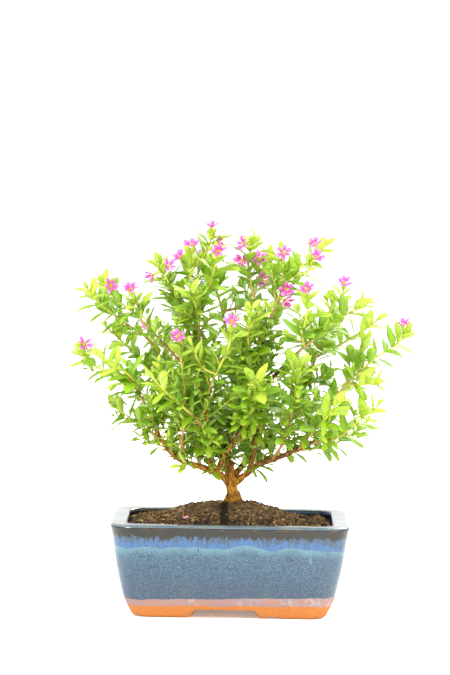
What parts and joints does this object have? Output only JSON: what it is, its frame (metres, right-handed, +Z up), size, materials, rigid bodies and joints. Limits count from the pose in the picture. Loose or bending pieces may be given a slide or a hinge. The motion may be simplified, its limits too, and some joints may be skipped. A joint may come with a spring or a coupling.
{
  "type": "cuphea bonsai in a glazed rectangular pot",
  "caption": "Small flowering shrub trained as a bonsai: forked trunk, fine leafy stems and pink six-petalled flowers, in a soil-filled glazed rectangular clay pot with feet.",
  "frame": {"origin": "middle of the whole bonsai seen from above, on the surface that the pot's feet stand on", "axes": "+Z up, +X along the pot's length to the right as seen from the front, front towards -Y"},
  "size_m": [0.2302, 0.1456, 0.2546],
  "materials": {
    "glazed_clay": "mottled blue-grey glaze over orange clay, bare at the feet",
    "net": "dark plastic net",
    "soil": "moist fibrous potting soil",
    "bark": "flaky orange-brown bark",
    "leaf": "satin green leaves on young green stems",
    "petal": "thin crinkled magenta-pink petals"
  },
  "bodies": {
    "root": {"pot": "glazed_clay", "drain_mesh_left": "net", "drain_mesh_right": "net", "soil": "soil", "trunk": "bark", "spray_left_low_tip": "leaf", "spray_left_hanging": "leaf", "spray_left_high": "leaf", "spray_left_back_high": "leaf", "spray_top_left": "leaf", "spray_front_left_upright": "leaf", "spray_left_inner": "leaf", "spray_left_short": "leaf", "spray_front_middle": "leaf", "spray_top": "leaf", "spray_top_middle": "leaf", "spray_top_right": "leaf", "spray_right_high": "leaf", "spray_right_tip": "leaf", "spray_right_low": "leaf", "spray_right_hanging": "leaf", "spray_right_front": "leaf", "spray_front_low": "leaf", "spray_right_front_low": "leaf", "spray_left_front": "leaf", "spray_front_high": "leaf", "spray_top_front": "leaf", "spray_left_back_low": "leaf", "spray_back_left": "leaf", "spray_right_back_low": "leaf", "spray_back_right": "leaf", "spray_back_top": "leaf", "spray_back_middle": "leaf", "bloom_01": "petal", "bloom_02": "petal", "bloom_03": "petal", "bloom_04": "petal", "bloom_05": "petal", "bloom_06": "petal", "bloom_07": "petal", "bloom_08": "petal", "bloom_09": "petal", "bloom_10": "petal", "bloom_11": "petal", "bloom_12": "petal", "bloom_13": "petal", "bloom_14": "petal", "bloom_15": "petal", "bloom_16": "petal", "bloom_17": "petal", "bloom_18": "petal", "bloom_19": "petal", "bloom_20": "petal", "bloom_21": "petal", "bloom_22": "petal", "bloom_23": "petal", "bloom_24": "petal", "bloom_25": "petal", "bloom_26": "petal", "bloom_27": "petal"}
  },
  "joints": []
}
